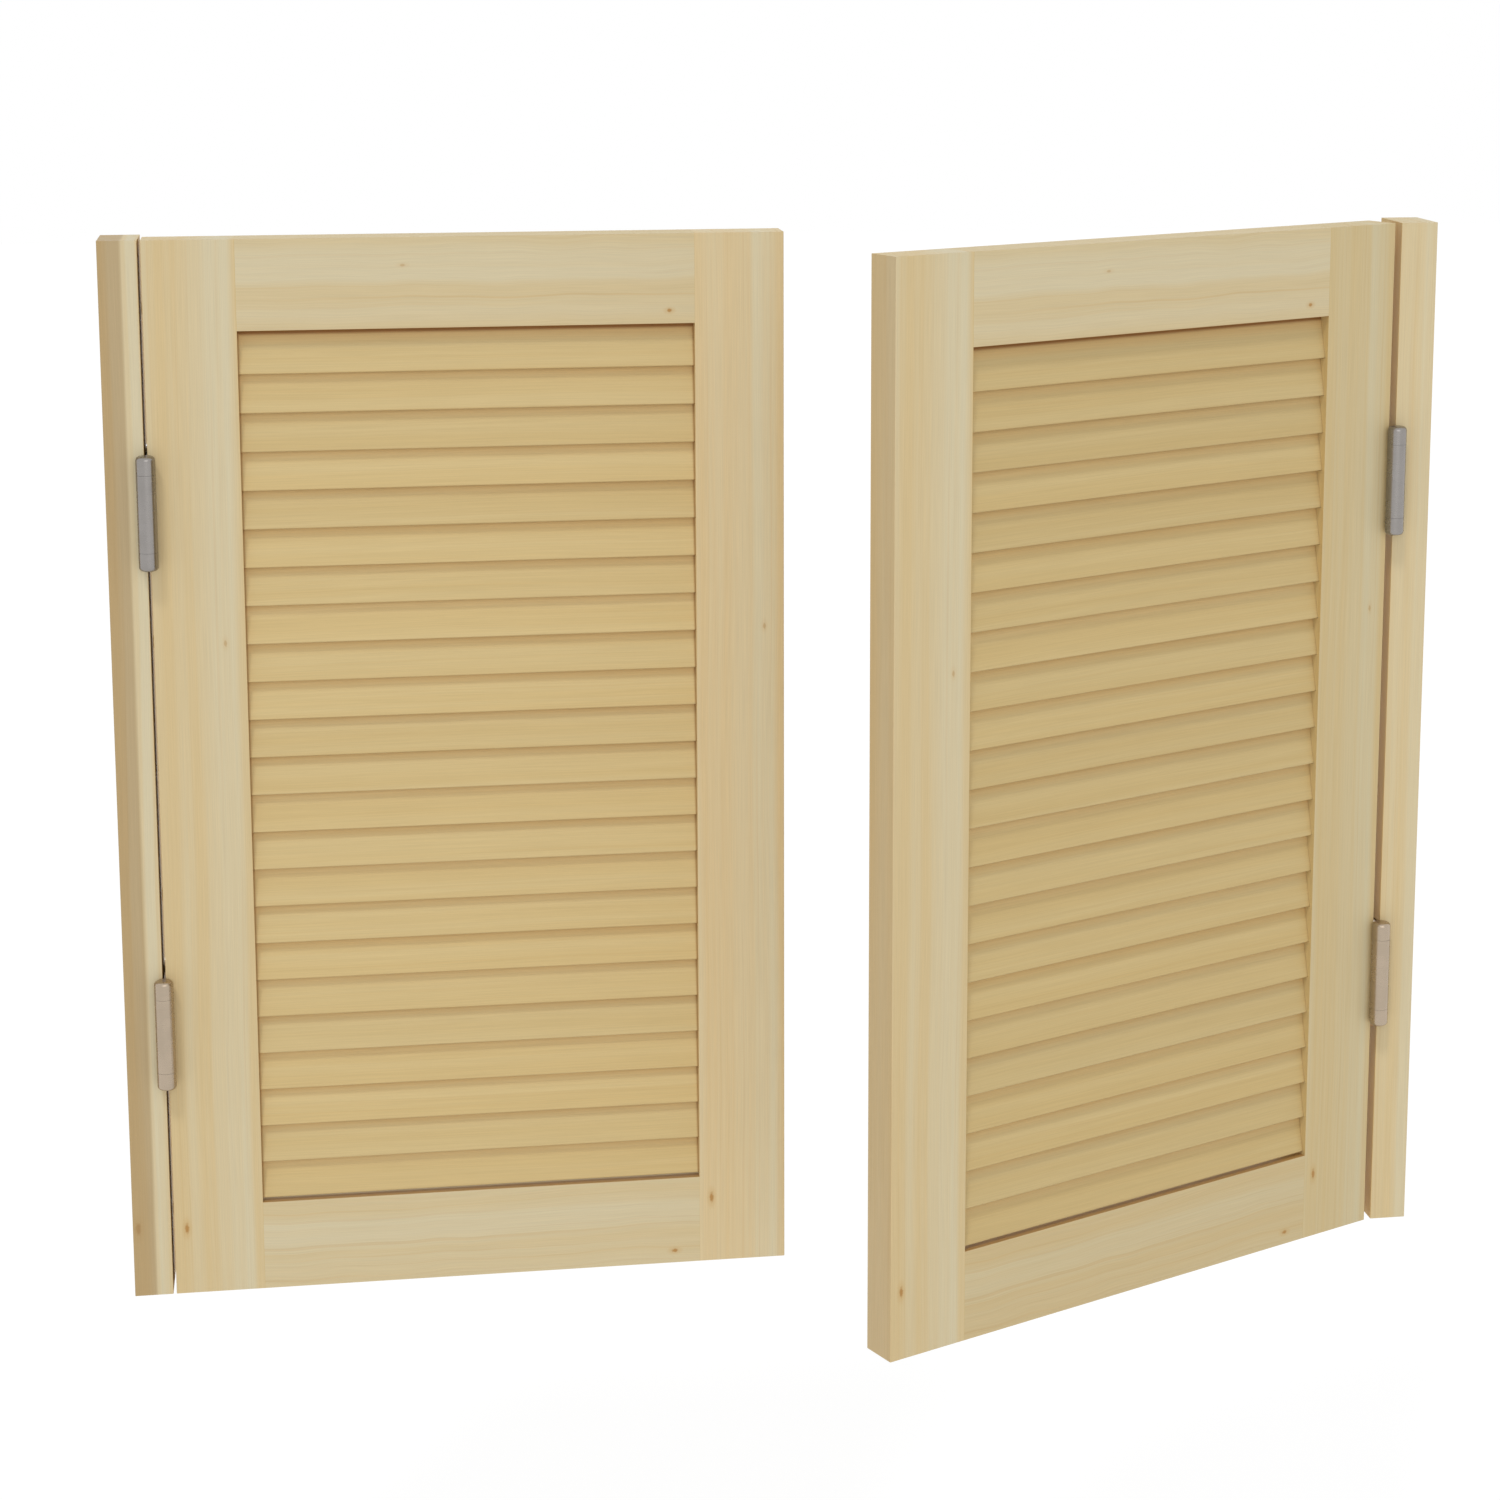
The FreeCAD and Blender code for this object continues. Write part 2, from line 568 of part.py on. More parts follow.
def make_barrel_parts(label, placement, axis_y, spring_placement, spring_y):
    """Pin, end caps and coil spring of one barrel."""
    shaft = rod(label + "_shaft", "0", axis_y, "-%s / 2" % PIN_LENGTH, dim("hinge_pin_radius"), PIN_LENGTH)
    keep(group(label + "_pin", [shaft]), label + "_pin", placement)
    caps = []
    for end, way in (("lower", -1), ("upper", 1)):
        caps.append(make_cap("%s_%s_cap" % (label, end), axis_y, way))
    keep(group(label + "_caps", caps), label + "_caps", placement)
    length = "(Dims.knuckle_height - 2 * Dims.spring_clearance)"
    outside = rod(label + "_coil_outside", "0", spring_y, "-%s / 2" % length,
                  "(Dims.barrel_radius - Dims.barrel_wall - Dims.spring_clearance)", length)
    inside = rod(label + "_coil_inside", "0", spring_y, "-Dims.knuckle_height",
                 "(Dims.hinge_pin_radius + Dims.spring_clearance)", "2 * Dims.knuckle_height")
    keep(cut(label + "_spring", outside, [inside]), label + "_spring", spring_placement)


def make_cap(label, axis_y, way):
    """Turned end cap of a barrel with a blind socket for the pin and a rounded outer edge."""
    face_z = "%d * Dims.hinge_height / 2" % way
    disc = rod(label + "_disc", "0", axis_y, face_z, dim("barrel_radius"), dim("cap_height"),
               (0, 0, way))
    doc.recompute()
    rounded = doc.addObject("Part::Fillet", label + "_rounded")
    rounded.Base = disc
    outer_z = way * (value("Dims.hinge_height / 2") + value(dim("cap_height")))
    outer = [index for index, edge in enumerate(disc.Shape.Edges, start=1)
             if abs(edge.CenterOfMass.z - outer_z) < 1e-6]
    size = value(dim("cap_round"))
    rounded.Edges = [(index, size, size) for index in outer]
    socket = rod(label + "_socket", "0", axis_y, face_z,
                 "(Dims.hinge_pin_radius + Dims.hinge_pin_clearance)",
                 "(Dims.cap_socket + Dims.knuckle_gap)", (0, 0, way))
    return cut(label, rounded, [socket])


def make_screws(label, side, moves_with_leaf, half_turn):
    """Countersunk screws of the two hinge plates on one post or one leaf."""
    screws = []
    for level in HINGE_LEVELS:
        pose = side.hinge_pose(level, moves_with_leaf, half_turn)
        for index, (along, up) in enumerate(SCREW_PLACES):
            name = "%s_%s_%d" % (label, level, index)
            y = "%d * Dims.screw_stagger" % along
            z = "%d * Dims.screw_spread" % up
            head = taper(name + "_head", "-" + PLATE_OUT, y, z, dim("screw_shank_radius"),
                         dim("screw_head_radius"), dim("plate_thickness"), (1, 0, 0))
            shank = rod(name + "_shank", "(-%s - Dims.screw_shank_length)" % PLATE_OUT, y, z,
                        dim("screw_shank_radius"), dim("screw_shank_length"), (1, 0, 0))
            tip = taper(name + "_tip", "(-%s - Dims.screw_shank_length)" % PLATE_OUT, y, z,
                        dim("screw_shank_radius"), "Dims.screw_shank_radius / 8",
                        dim("screw_tip_length"), (-1, 0, 0))
            screw = joined(name, [head, shank, tip])
            screw.Placement = pose
            screws.append(screw)
    keep(group(label, screws), label)


def make_hinges(side):
    """Both double-action spring hinges of one door.

    On the left the post's barrel is in front and the leaf's barrel behind.  On the right the
    hinge is turned by half a turn, so there the post's barrel is behind.
    """
    for level in HINGE_LEVELS:
        label = "%s_%s_hinge" % (side.name, level)
        fixed = side.hinge_pose(level, False)
        make_plate(label + "_post_plate", fixed)
        make_link(label + "_middle_plate", fixed)
        leaf_side = side.hinge_pose(level, True, 180.0)
        make_plate(label + "_leaf_plate", leaf_side)
        near = "-" + AXIS_REACH
        make_barrel_parts(label + "_post_barrel", fixed, near, fixed, near)
        make_barrel_parts(label + "_leaf_barrel", fixed, AXIS_REACH, leaf_side, near)


for door in SIDES:
    make_post(door)
    for position in ("hinge", "free"):
        make_stile(door, position)
    for position in ("top", "bottom"):
        make_rail(door, position)
    make_slats(door)
    make_dowels(door)
    make_hinges(door)
    make_screws(door.name + "_post_screws", door, False, 0.0)
    make_screws(door.name + "_leaf_screws", door, True, 180.0)

doc.recompute()

for item in doc.Objects:
    if "Invalid" in item.State or "Error" in item.State:
        raise RuntimeError("%s failed: %s" % (item.Label, item.State))
for node in nodes:
    if node.Shape.isNull() or not node.Shape.isValid():
        raise RuntimeError("%s has no valid shape" % node.Label)

os.makedirs("parts", exist_ok=True)
for node in nodes:
    node.Shape.exportStep("parts/%s.step" % node.Label)
print("%d sub-parts, %d slats a leaf" % (len(nodes), SLAT_COUNT))
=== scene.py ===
"""A pair of louvred pine saloon doors on double-action spring hinges, dressed for a studio picture."""
import json
import logging
import math
from dataclasses import dataclass, field
from enum import Enum
from typing import Any

import bmesh
import bpy
from mathutils import Matrix, Vector


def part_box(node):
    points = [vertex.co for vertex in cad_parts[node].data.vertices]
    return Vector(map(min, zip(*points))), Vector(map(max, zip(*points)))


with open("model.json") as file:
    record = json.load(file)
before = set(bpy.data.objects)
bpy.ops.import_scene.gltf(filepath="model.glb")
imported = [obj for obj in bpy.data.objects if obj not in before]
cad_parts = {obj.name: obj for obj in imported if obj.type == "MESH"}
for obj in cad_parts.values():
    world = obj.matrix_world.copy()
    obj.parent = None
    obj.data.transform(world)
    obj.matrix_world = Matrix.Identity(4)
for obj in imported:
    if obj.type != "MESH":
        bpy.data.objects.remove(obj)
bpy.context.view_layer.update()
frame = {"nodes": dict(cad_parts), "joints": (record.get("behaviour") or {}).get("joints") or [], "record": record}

LOG = logging.getLogger("saloon_doors")

Colour = tuple[float, float, float]
Point = tuple[float, float, float]

WHITE = (1.0, 1.0, 1.0)
FLOAT = "NodeSocketFloat"
VECTOR = "NodeSocketVector"
COLOUR = "NodeSocketColor"

# Features per metre along the fibres, across the face and into the wood.
SWAY_GRAIN = (2.2, 6.0, 3.0)
RIPPLE_GRAIN = (13.0, 22.0, 9.0)
BAND_GRAIN = (0.7, 62.0, 24.0)
LINE_GRAIN = (1.3, 300.0, 130.0)
FIBRE_GRAIN = (14.0, 1500.0, 1500.0)
FLECK_GRAIN = (26.0, 900.0, 900.0)
BRUSHED_GRAIN = (60.0, 900.0, 60.0)

# How far a board's seed moves its figure, and how far the fibres sway, in metres.
SEED_ALONG = 3.7
SEED_ACROSS = 0.53
SWAY = 0.010

# A pale band's centre that lies off every board.
NO_BAND = -1.0


class Grain(Enum):
    """Which way the fibres of a board run in the closed door."""

    UPRIGHT = "upright"
    ACROSS = "across"


class Hand(Enum):
    """The two doors of the pair."""

    LEFT = "left"
    RIGHT = "right"


def linear(red: int, green: int, blue: int) -> Colour:
    """Turn an 8-bit display colour into the linear colour that a shader takes.

    Args:
        red: red, 0 to 255.
        green: green, 0 to 255.
        blue: blue, 0 to 255.

    Returns:
        The linear colour.
    """
    def one(channel: int) -> float:
        """Turn one channel.

        Args:
            channel: its value, 0 to 255.

        Returns:
            Its linear value, from the display's own curve.
        """
        part = channel / 255.0
        return part / 12.92 if part <= 0.04045 else ((part + 0.055) / 1.055) ** 2.4

    return one(red), one(green), one(blue)


def node(tree: bpy.types.NodeTree, kind: str, settings: dict[str, Any] | None = None,
         **sockets: Any) -> bpy.types.Node:
    """Add a shader node, set its properties and fill or link its inputs.

    Args:
        tree: the node tree to add it to.
        kind: the node's type name.
        settings: properties of the node itself.
        sockets: inputs by name, with spaces as underscores, or by place as i0, i1 and so on.
            A socket is linked, and anything else is set as the input's value.

    Returns:
        The new node.
    """
    made = tree.nodes.new(kind)
    for name, setting in (settings or {}).items():
        setattr(made, name, setting)
    for name, given in sockets.items():
        is_place = name[0] == "i" and name[1:].isdigit()
        target = made.inputs[int(name[1:])] if is_place else made.inputs[name.replace("_", " ")]
        if isinstance(given, bpy.types.NodeSocket):
            tree.links.new(given, target)
        elif isinstance(given, tuple) and len(given) == 3 and target.type == "RGBA":
            target.default_value = (*given, 1.0)
        else:
            target.default_value = given
    return made


def maths(tree: bpy.types.NodeTree, operation: str, *values: Any) -> bpy.types.NodeSocket:
    """Add a Math node and give its result.

    Args:
        tree: the node tree.
        operation: the Math node's operation.
        values: its inputs in order, as sockets or numbers.

    Returns:
        The output socket.
    """
    inputs = {"i%d" % place: given for place, given in enumerate(values)}
    return node(tree, "ShaderNodeMath", {"operation": operation}, **inputs).outputs[0]


def smooth(tree: bpy.types.NodeTree, value: Any, low: Any, high: Any,
           start: float = 0.0, end: float = 1.0) -> bpy.types.NodeSocket:
    """Add a smooth step from one value to another.

    Args:
        tree: the node tree.
        value: the socket that is read.
        low: where the step starts.
        high: where the step ends.
        start: result below low.
        end: result above high.

    Returns:
        The output socket.
    """
    made = node(tree, "ShaderNodeMapRange", {"interpolation_type": "SMOOTHSTEP"},
                i0=value, i1=low, i2=high, i3=start, i4=end)
    return made.outputs[0]


def blend(tree: bpy.types.NodeTree, factor: Any, first: Any, second: Any,
          mode: str = "MIX") -> bpy.types.NodeSocket:
    """Add a colour Mix node.

    Args:
        tree: the node tree.
        factor: how much of the second colour shows.
        first: first colour.
        second: second colour.
        mode: the blend type.

    Returns:
        The colour socket.
    """
    made = node(tree, "ShaderNodeMix", {"data_type": "RGBA", "blend_type": mode},
                i0=factor, i6=first, i7=second)
    return made.outputs[2]


class Group:
    """A shader node group under construction."""

    def __init__(self, name: str, inputs: dict[str, str], outputs: dict[str, str]) -> None:
        """Start a group with named sockets.

        Args:
            name: the group's name.
            inputs: input names and their socket types.
            outputs: output names and their socket types.
        """
        self.tree = bpy.data.node_groups.new(name, "ShaderNodeTree")
        for label, kind in inputs.items():
            self.tree.interface.new_socket(label, in_out="INPUT", socket_type=kind)
        for label, kind in outputs.items():
            self.tree.interface.new_socket(label, in_out="OUTPUT", socket_type=kind)
        self.source = self.tree.nodes.new("NodeGroupInput").outputs
        self.result = self.tree.nodes.new("NodeGroupOutput").inputs

    def put(self, label: str, socket: bpy.types.NodeSocket) -> None:
        """Link a socket to one of the group's outputs.

        Args:
            label: the output's name.
            socket: what it puts out.
        """
        self.tree.links.new(socket, self.result[label])


def stretched_noise(tree: bpy.types.NodeTree, along: Any, across: Any, depth: Any,
                    grain: tuple[float, float, float], detail: float) -> bpy.types.NodeSocket:
    """Noise drawn out along the fibres.

    Args:
        tree: the node tree.
        along: coordinate along the fibres, in metres.
        across: coordinate across the face, in metres.
        depth: coordinate into the board, in metres.
        grain: features per metre along, across and in depth.
        detail: octaves of the noise.

    Returns:
        The noise value, 0 to 1.
    """
    point = node(tree, "ShaderNodeCombineXYZ", None,
                 i0=maths(tree, "MULTIPLY", along, grain[0]),
                 i1=maths(tree, "MULTIPLY", across, grain[1]),
                 i2=maths(tree, "MULTIPLY", depth, grain[2]))
    made = node(tree, "ShaderNodeTexNoise", {"noise_dimensions": "3D"},
                Vector=point.outputs[0], Scale=1.0, Detail=detail, Roughness=0.55)
    return made.outputs[0]


KNOT_RING_COLOUR = linear(206, 164, 98)
KNOT_EYE_COLOUR = linear(178, 126, 56)


def make_pine_figure() -> bpy.types.NodeTree:
    """Planed pine: soft pale and yellow bands, honey growth lines and fine fibres.

    Returns:
        The node group.
    """
    group = Group("pine_figure",
                  {"Board": VECTOR, "Pale": COLOUR, "Yellow": COLOUR, "Honey": COLOUR,
                   "Band Centre": FLOAT, "Band Width": FLOAT, "Line Strength": FLOAT, "Waviness": FLOAT,
                   "Seed": FLOAT},
                  {"Color": COLOUR, "Roughness": FLOAT, "Height": FLOAT})
    tree, source = group.tree, group.source
    axes = node(tree, "ShaderNodeSeparateXYZ", None, i0=source["Board"]).outputs
    along = maths(tree, "ADD", axes[0], maths(tree, "MULTIPLY", source["Seed"], SEED_ALONG))
    depth = axes[2]
    sway = stretched_noise(tree, along, maths(tree, "MULTIPLY", axes[1], 0.4), depth, SWAY_GRAIN, 1.0)
    sway = maths(tree, "MULTIPLY", maths(tree, "SUBTRACT", sway, 0.5), SWAY)
    across = maths(tree, "ADD", axes[1], sway)
    ripple = stretched_noise(tree, along, across, depth, RIPPLE_GRAIN, 1.0)
    ripple = maths(tree, "MULTIPLY", maths(tree, "SUBTRACT", ripple, 0.5), source["Waviness"])
    across = maths(tree, "ADD", across, ripple)
    seeded = maths(tree, "ADD", across, maths(tree, "MULTIPLY", source["Seed"], SEED_ACROSS))
    bands = stretched_noise(tree, along, seeded, depth, BAND_GRAIN, 2.5)
    from_centre = maths(tree, "ABSOLUTE", maths(tree, "SUBTRACT", across, source["Band Centre"]))
    broad = smooth(tree, from_centre, maths(tree, "MULTIPLY", source["Band Width"], 1.35),
                   maths(tree, "MULTIPLY", source["Band Width"], 0.55))
    paleness = maths(tree, "ADD", maths(tree, "MULTIPLY", smooth(tree, bands, 0.36, 0.66), 0.55),
                     maths(tree, "MULTIPLY", broad, 0.62))
    paleness = maths(tree, "MINIMUM", paleness, 1.0)
    lines = smooth(tree, stretched_noise(tree, along, seeded, depth, LINE_GRAIN, 1.5), 0.55, 0.78)
    fibres = stretched_noise(tree, along, seeded, depth, FIBRE_GRAIN, 2.0)
    flecks = smooth(tree, stretched_noise(tree, along, seeded, depth, FLECK_GRAIN, 1.0), 0.66, 0.80)
    colour = blend(tree, paleness, source["Yellow"], source["Pale"])
    colour = blend(tree, maths(tree, "MULTIPLY", lines, source["Line Strength"]), colour, source["Honey"])
    colour = blend(tree, maths(tree, "MULTIPLY", flecks, 0.10), colour, source["Honey"])
    shade = smooth(tree, fibres, 0.25, 0.75, 0.955, 1.035)
    shaded = node(tree, "ShaderNodeVectorMath", {"operation": "SCALE"}, i0=colour, Scale=shade)
    group.put("Color", shaded.outputs[0])
    planed = maths(tree, "SUBTRACT", fibres, maths(tree, "MULTIPLY", lines, 0.2))
    group.put("Roughness", smooth(tree, planed, 0.2, 0.8, 0.62, 0.50))
    raised = maths(tree, "MULTIPLY", fibres, 0.6)
    group.put("Height", maths(tree, "SUBTRACT", raised, maths(tree, "MULTIPLY", flecks, 0.5)))
    return tree


def make_knot() -> bpy.types.NodeTree:
    """One small knot: a dark eye with a warm ring that fades into the board.

    Returns:
        The node group.
    """
    group = Group("pine_knot",
                  {"Board": VECTOR, "Color": COLOUR, "Along": FLOAT, "Across": FLOAT, "Radius": FLOAT,
                   "Squeeze": FLOAT, "Depth of Tone": FLOAT},
                  {"Color": COLOUR})
    tree, source = group.tree, group.source
    axes = node(tree, "ShaderNodeSeparateXYZ", None, i0=source["Board"]).outputs
    along = maths(tree, "MULTIPLY", maths(tree, "SUBTRACT", axes[0], source["Along"]), source["Squeeze"])
    across = maths(tree, "SUBTRACT", axes[1], source["Across"])
    squared = maths(tree, "MULTIPLY_ADD", along, along, maths(tree, "MULTIPLY", across, across))
    rough = node(tree, "ShaderNodeTexNoise", {"noise_dimensions": "3D"}, Vector=source["Board"], Scale=420.0,
                 Detail=1.0).outputs[0]
    reach = maths(tree, "DIVIDE", maths(tree, "SQRT", squared), source["Radius"])
    reach = maths(tree, "ADD", reach, maths(tree, "MULTIPLY", maths(tree, "SUBTRACT", rough, 0.5), 0.7))
    ring_tone = maths(tree, "MULTIPLY", source["Depth of Tone"], 0.38)
    ring = maths(tree, "MULTIPLY", smooth(tree, reach, 2.6, 0.9), ring_tone)
    eye = maths(tree, "MULTIPLY", smooth(tree, reach, 1.1, 0.45), source["Depth of Tone"])
    warm = blend(tree, ring, source["Color"], KNOT_RING_COLOUR)
    group.put("Color", blend(tree, eye, warm, KNOT_EYE_COLOUR))
    return tree


def make_satin_metal() -> bpy.types.NodeTree:
    """Satin plated steel: faint lines round the barrel and soft cloudy tarnish.

    Returns:
        The node group.
    """
    group = Group("satin_metal", {"Point": VECTOR, "Bright": COLOUR, "Dull": COLOUR},
                  {"Color": COLOUR, "Roughness": FLOAT})
    tree, source = group.tree, group.source
    axes = node(tree, "ShaderNodeSeparateXYZ", None, i0=source["Point"]).outputs
    lines = stretched_noise(tree, axes[0], axes[2], axes[1], BRUSHED_GRAIN, 1.0)
    cloud = node(tree, "ShaderNodeTexNoise", {"noise_dimensions": "3D"}, Vector=source["Point"], Scale=55.0,
                 Detail=3.0).outputs[0]
    mixed = maths(tree, "ADD", maths(tree, "MULTIPLY", lines, 0.2), maths(tree, "MULTIPLY", cloud, 0.8))
    group.put("Color", blend(tree, smooth(tree, mixed, 0.32, 0.68), source["Dull"], source["Bright"]))
    group.put("Roughness", smooth(tree, mixed, 0.3, 0.7, 0.30, 0.25))
    return tree


@dataclass(frozen=True)
class Knot:
    """A knot on a board: its place along and across it, its radius, how dark it is and how round."""

    along: float
    across: float
    radius: float
    tone: float = 0.7
    squeeze: float = 0.42


@dataclass(frozen=True)
class EdgeShade:
    """Painted shade on a narrow face of a board: its place across the board, the shade's tone and how deep it
    reaches.
    """

    across: float
    tone: Colour
    reach: float = 1.0


@dataclass(frozen=True)
class PineFinish:
    """Unfinished planed pine in one tone."""

    pale: Colour
    yellow: Colour
    honey: Colour
    line_strength: float = 0.22
    waviness: float = 0.001


@dataclass(frozen=True)
class SteelFinish:
    """Plated steel in one tone."""

    name: str
    bright: Colour
    dull: Colour


FRAME_PINE = PineFinish(linear(222, 209, 174), linear(221, 197, 148), linear(206, 168, 106))
# Copies with painted light and painted shade: the paler frame copy paints light on the left free stile beside the
# open right door, and the deeper copies paint shade on pieces of the open right door.
PAINTED_LIGHT_FRAME_PINE = PineFinish(linear(226, 213, 178), linear(226, 201, 153), linear(210, 172, 110))
PAINTED_SHADE_FRAME_PINE = PineFinish(linear(216, 202, 164), linear(215, 191, 140), linear(201, 163, 100))
RAIL_PINE = PineFinish(linear(221, 207, 171), linear(219, 199, 155), linear(204, 166, 106), 0.26, 0.009)
PAINTED_SHADE_RAIL_PINE = PineFinish(linear(215, 198, 157), linear(213, 190, 142), linear(198, 158, 97),
                              0.26, 0.009)
SLAT_PINE = PineFinish(linear(221, 199, 147), linear(215, 189, 133), linear(200, 163, 101), 0.14)
# A darker slat copy: painted shade for the slats of the open right door.
PAINTED_SHADE_SLAT_PINE = PineFinish(linear(214, 192, 140), linear(208, 182, 126), linear(194, 157, 95), 0.14)
DOWEL_PINE = PineFinish(linear(214, 186, 146), linear(206, 176, 130), linear(180, 140, 92), 0.3)
# Boards that wear a paler copy (painted light) and boards that wear a deeper copy (painted shade).
PAINTED_LIGHT_AND_SHADE_PINES = {
    "left_free_stile": PAINTED_LIGHT_FRAME_PINE,
    "right_hinge_stile": PAINTED_SHADE_FRAME_PINE,
    "right_bottom_rail": PAINTED_SHADE_RAIL_PINE,
}

# Tones that multiply the pine's colour; all of them but the strip tone are painted shade.
# Painted shade on the rails' edges where they meet the louvre.
CORNER_SHADE_TONE = (0.60, 0.43, 0.25)
# Painted shade on the stiles' inner edges, in the recess beside the slats.
INNER_EDGE_SHADE = (0.92, 0.84, 0.66)
# Painted shade on the faces in the gap between post and leaf at the hinges.
GAP_SHADE = (0.96, 0.84, 0.62)
# Painted shade on the free stiles' outer edges, the side that gets less light.
OUTER_EDGE_SHADE = (0.89, 0.85, 0.82)
# Painted warm tint in the shadow on each slat's upper front, under the slat above.
PAINTED_SHADOW_WARMTH = (1.08, 1.01, 0.96)
STRIP_TONE = linear(222, 214, 206)
# Painted shade on the slats' ends by the stiles and under the top rail.
SLAT_CORNER_SHADE = linear(176, 130, 80)

HINGE_STEEL = SteelFinish("hinge_satin_nickel", (0.325, 0.305, 0.29), (0.295, 0.277, 0.262))
# Painted reflection: the lower barrels' steel is a warmer copy of the hinge steel that stands in for the wood they
# reflect.
LOWER_HINGE_PAINTED_REFLECTION = SteelFinish("hinge_steel_painted_reflection", (0.48, 0.39, 0.295), (0.435, 0.355, 0.268))
SPRING_STEEL = SteelFinish("spring_oiled_steel", (0.26, 0.26, 0.27), (0.16, 0.16, 0.17))
SCREW_STEEL = SteelFinish("screw_zinc", (0.56, 0.56, 0.55), (0.40, 0.40, 0.39))


class Workshop:
    """The shared node groups and the materials made from them."""

    def __init__(self) -> None:
        """Build the groups once."""
        self.figure = make_pine_figure()
        self.knot = make_knot()
        self.metal = make_satin_metal()

    @staticmethod
    def start(name: str) -> tuple[bpy.types.Material, bpy.types.NodeTree, bpy.types.Node]:
        """Start a material.

        Args:
            name: the material's name.

        Returns:
            The material, its node tree and its Principled shader.
        """
        material = bpy.data.materials.new(name)
        material.use_nodes = True
        tree = material.node_tree
        return material, tree, tree.nodes["Principled BSDF"]

    def pine(self, board: "Board") -> bpy.types.Material:
        """Pine whose figure and knots belong to one board.

        Args:
            board: the board that wears it.

        Returns:
            The material.
        """
        material, tree, shader = self.start("pine_" + board.node)
        place = board.place_nodes(tree)
        finish = board.finish
        figure = node(tree, "ShaderNodeGroup", {"node_tree": self.figure}, Board=place, Seed=board.seed,
                      Pale=finish.pale, Yellow=finish.yellow, Honey=finish.honey,
                      Band_Centre=board.band_centre, Band_Width=board.band_width,
                      Line_Strength=finish.line_strength, Waviness=finish.waviness)
        colour = figure.outputs["Color"]
        for knot in board.knots:
            colour = node(tree, "ShaderNodeGroup", {"node_tree": self.knot}, Board=place, Color=colour,
                          Along=knot.along, Across=knot.across, Radius=knot.radius,
                          Squeeze=knot.squeeze, Depth_of_Tone=knot.tone).outputs["Color"]
        colour = board.tone_nodes(tree, place, colour)
        tree.links.new(colour, shader.inputs["Base Color"])
        tree.links.new(figure.outputs["Roughness"], shader.inputs["Roughness"])
        bump = node(tree, "ShaderNodeBump", None, Strength=0.10, Distance=0.0004,
                    Height=figure.outputs["Height"])
        tree.links.new(bump.outputs[0], shader.inputs["Normal"])
        shader.inputs["Specular IOR Level"].default_value = 0.32
        return material

    def steel(self, finish: SteelFinish) -> bpy.types.Material:
        """Satin plated steel.

        Args:
            finish: its tone.

        Returns:
            The material.
        """
        material, tree, shader = self.start(finish.name)
        point = tree.nodes.new("ShaderNodeTexCoord").outputs["Object"]
        metal = node(tree, "ShaderNodeGroup", {"node_tree": self.metal}, Point=point, Bright=finish.bright,
                     Dull=finish.dull)
        tree.links.new(metal.outputs["Color"], shader.inputs["Base Color"])
        tree.links.new(metal.outputs["Roughness"], shader.inputs["Roughness"])
        shader.inputs["Metallic"].default_value = 1.0
        return material


@dataclass
class Board:
    """One wooden piece: where its low left corner is in the closed door, and its own figure."""

    node: str
    grain: Grain
    corner: Vector
    finish: PineFinish
    seed: float
    opened: float = 0.0
    pivot: Vector = field(default_factory=Vector)
    band_centre: float = 0.06
    band_width: float = 0.012
    knots: tuple[Knot, ...] = ()
    shaded_edges: tuple[EdgeShade, ...] = ()

    def place_nodes(self, tree: bpy.types.NodeTree) -> bpy.types.NodeSocket:
        """Coordinates of the board itself: along the fibres, across the face and into the wood.

        Args:
            tree: the material's node tree.

        Returns:
            The vector socket.
        """
        turn = Matrix.Rotation(-self.opened, 3, "Z")
        shift = self.pivot - turn @ self.pivot - self.corner
        point = tree.nodes.new("ShaderNodeTexCoord").outputs["Object"]
        closed = node(tree, "ShaderNodeMapping", {"vector_type": "POINT"}, Vector=point,
                      Location=tuple(shift), Rotation=(0.0, 0.0, -self.opened))
        axes = node(tree, "ShaderNodeSeparateXYZ", None, i0=closed.outputs[0]).outputs
        along, across = (axes[2], axes[0]) if self.grain is Grain.UPRIGHT else (axes[0], axes[2])
        return node(tree, "ShaderNodeCombineXYZ", None, i0=along, i1=across, i2=axes[1]).outputs[0]

    def tone_nodes(self, tree: bpy.types.NodeTree, place: bpy.types.NodeSocket,
                   colour: bpy.types.NodeSocket) -> bpy.types.NodeSocket:
        """Paint shade onto the board's narrow faces.

        Args:
            tree: the material's node tree.
            place: the board's coordinates.
            colour: the pine's colour.

        Returns:
            The toned colour.
        """
        axes = node(tree, "ShaderNodeSeparateXYZ", None, i0=place).outputs
        for edge in self.shaded_edges:
            away = maths(tree, "ABSOLUTE", maths(tree, "SUBTRACT", axes[1], edge.across))
            near = smooth(tree, axes[2], edge.reach + 0.003, edge.reach)
            edge_shade_mask = maths(tree, "MULTIPLY", smooth(tree, away, 0.0003, 0.0001), near)
            colour = blend(tree, edge_shade_mask, colour, edge.tone, "MULTIPLY")
        return colour


@dataclass
class DarkStripPost(Board):
    """A post whose outer strip is darker."""

    strip: float = 0.0185

    def tone_nodes(self, tree: bpy.types.NodeTree, place: bpy.types.NodeSocket,
                   colour: bpy.types.NodeSocket) -> bpy.types.NodeSocket:
        """Darken the strip along the outer edge.

        Args:
            tree: the material's node tree.
            place: the board's coordinates.
            colour: the pine's colour.

        Returns:
            The toned colour.
        """
        across = node(tree, "ShaderNodeSeparateXYZ", None, i0=place).outputs[1]
        dark = smooth(tree, across, self.strip + 0.0018, self.strip - 0.0016)
        striped = blend(tree, dark, colour, STRIP_TONE, "MULTIPLY")
        return super().tone_nodes(tree, place, striped)


